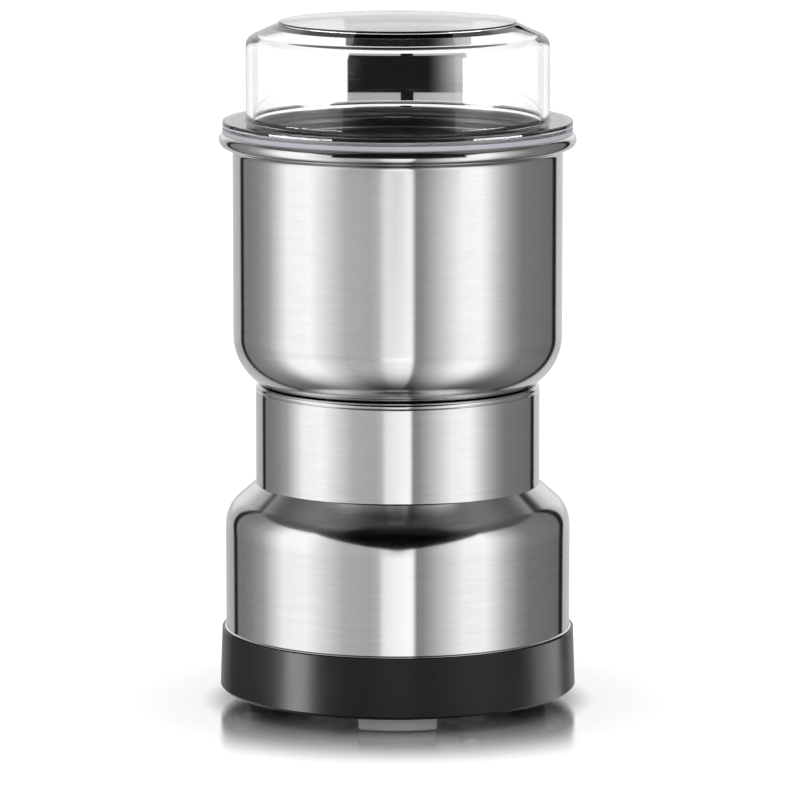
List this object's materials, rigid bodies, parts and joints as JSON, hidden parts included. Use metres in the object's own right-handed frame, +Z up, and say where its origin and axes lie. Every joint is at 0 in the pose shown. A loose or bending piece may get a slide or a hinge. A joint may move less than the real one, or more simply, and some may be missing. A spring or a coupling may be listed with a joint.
{
  "type": "electric spice grinder",
  "caption": "Electric spice grinder: stepped steel motor body, double-walled bowl with crossed blades, black base ring, and a clear lid that is pressed down to run the motor.",
  "frame": {"origin": "on the body's axis at the bottom of the feet, the centre of the bottom of the bounding box", "axes": "+Z up along the axis of the motor and the bowl; -Y is the front, as in the picture; +Y is the back, where the cord leaves; +X is to the right seen from the front"},
  "size_m": [0.095, 0.095, 0.1825],
  "materials": {
    "clear_lid": "clear polished plastic",
    "soft_seal": "translucent satin silicone",
    "brushed_shell": "brushed round the axis",
    "brushed_bowl": "finely brushed round the axis",
    "black_base": "satin black",
    "dark_plastic": "satin moulded",
    "pale_plastic": "satin moulded",
    "red_plastic": "satin moulded",
    "grey_rubber": "matte",
    "dark_rubber": "matte",
    "screw_steel": "zinc plated",
    "shaft_steel": "ground",
    "blade_steel": "polished",
    "spring_steel": "drawn wire",
    "lamination_steel": "stacked sheet, oiled",
    "copper_wire": "enamelled wire",
    "copper_bar": "turned copper",
    "bearing_bronze": "sintered bronze",
    "brass": "pressed sheet",
    "carbon": "pressed carbon"
  },
  "bodies": {
    "housing": {"switch_body": "dark_plastic", "switch_bracket": "pale_plastic", "switch_screws": "screw_steel", "rod_spring": "spring_steel", "bowl_shell": "brushed_shell", "grinding_bowl": "brushed_bowl", "bowl_mount": "dark_plastic", "bowl_hub": "dark_plastic", "shaft_seal": "dark_rubber", "bowl_screws": "screw_steel", "motor_housing": "brushed_shell", "upper_bracket": "dark_plastic", "top_bearing": "bearing_bronze", "stator_core": "lamination_steel", "field_coils": "copper_wire", "stator_bolts": "screw_steel", "lower_bracket": "dark_plastic", "bottom_bearing": "bearing_bronze", "brush_holders": "brass", "carbon_brushes": "carbon", "brush_springs": "spring_steel", "brush_caps": "dark_plastic", "base_ring": "black_base", "frame_screws": "screw_steel", "base_plate": "black_base", "base_screws": "screw_steel", "rubber_feet": "grey_rubber", "cord_gland": "dark_rubber"},
    "press_rod": {"push_rod": "dark_plastic"},
    "lid": {"lid_shell": "clear_lid", "lid_seal": "soft_seal"},
    "lever": {"switch_lever": "spring_steel"},
    "plunger": {"switch_plunger": "red_plastic"},
    "rotor": {"motor_shaft": "shaft_steel", "armature_core": "lamination_steel", "armature_winding": "copper_wire", "commutator": "copper_bar", "cooling_fan": "pale_plastic", "thrust_washers": "dark_plastic", "drive_collar": "shaft_steel", "lower_blade": "blade_steel", "upper_blade": "blade_steel", "blade_nut": "shaft_steel"}
  },
  "joints": [
    {"name": "lid_press", "type": "slide", "parent": "housing", "child": "press_rod", "axis": [0, 0, -1], "range_m": [0, 0.0008], "stiffness_N_per_m": 1500, "springref_m": -0.0008, "deforming": ["rod_spring", "lid_seal"]},
    {"name": "lid_lift", "type": "slide", "parent": "press_rod", "child": "lid", "axis": [0, 0, 1], "range_m": [0, 0.07]},
    {"name": "blade_spin", "type": "hinge", "parent": "housing", "child": "rotor", "pos_m": [0, 0, 0.1], "axis": [0, 0, 1], "continuous": true},
    {"name": "switch_tilt", "type": "hinge", "parent": "housing", "child": "lever", "pos_m": [-0.011, 0.03485, 0.0413], "axis": [0, 1, 0], "range_deg": [0, 4.2]},
    {"name": "switch_push", "type": "slide", "parent": "housing", "child": "plunger", "axis": [0, 0, -1], "range_m": [0, 0.0004]}
  ],
  "couplings": [
    {"joint": "switch_tilt", "follows": "lid_press", "rad_per_m": 90.909},
    {"joint": "switch_push", "follows": "lid_press", "ratio": 0.5}
  ]
}
